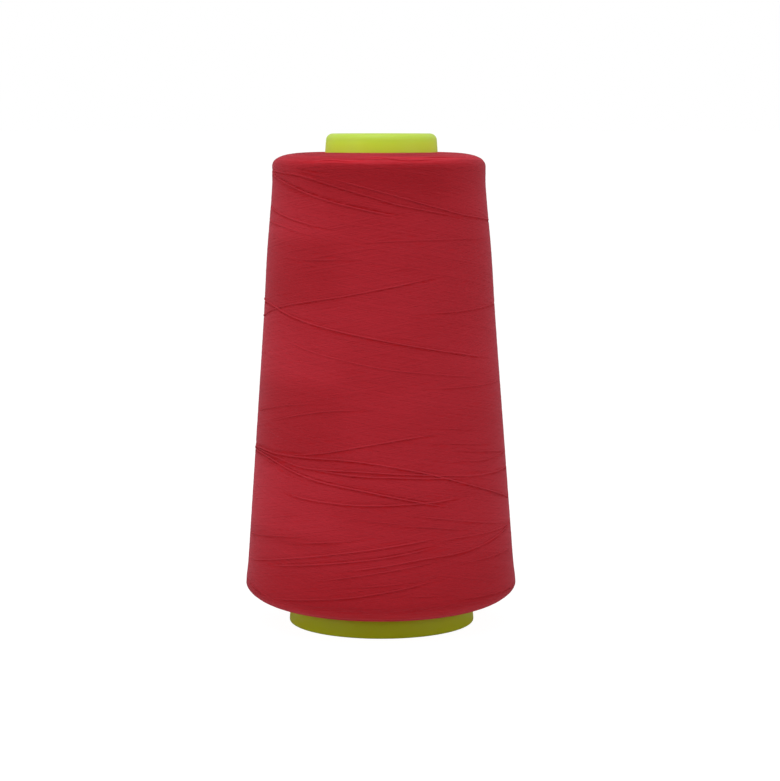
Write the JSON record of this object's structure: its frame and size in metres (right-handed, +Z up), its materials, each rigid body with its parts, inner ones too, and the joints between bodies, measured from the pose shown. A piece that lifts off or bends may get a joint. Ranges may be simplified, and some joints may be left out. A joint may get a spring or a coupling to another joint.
{
  "type": "sewing thread cone",
  "caption": "Tapered cone of sewing thread: a hollow moulded cone that slides over a spindle, with a round-shouldered cross-wound thread package on it.",
  "frame": {"origin": "centre of the base that the cone stands on, on the cone's axis", "axes": "+Z up along the cone's axis, from the wide base to the narrow nose; X and Y are level and the cone is round about Z"},
  "size_m": [0.0633, 0.0634, 0.115],
  "materials": {
    "core_plastic": "satin",
    "thread": "matte"
  },
  "bodies": {
    "root": {"cone_core": "core_plastic", "thread_package": "thread", "outer_winding": "thread"}
  },
  "joints": []
}
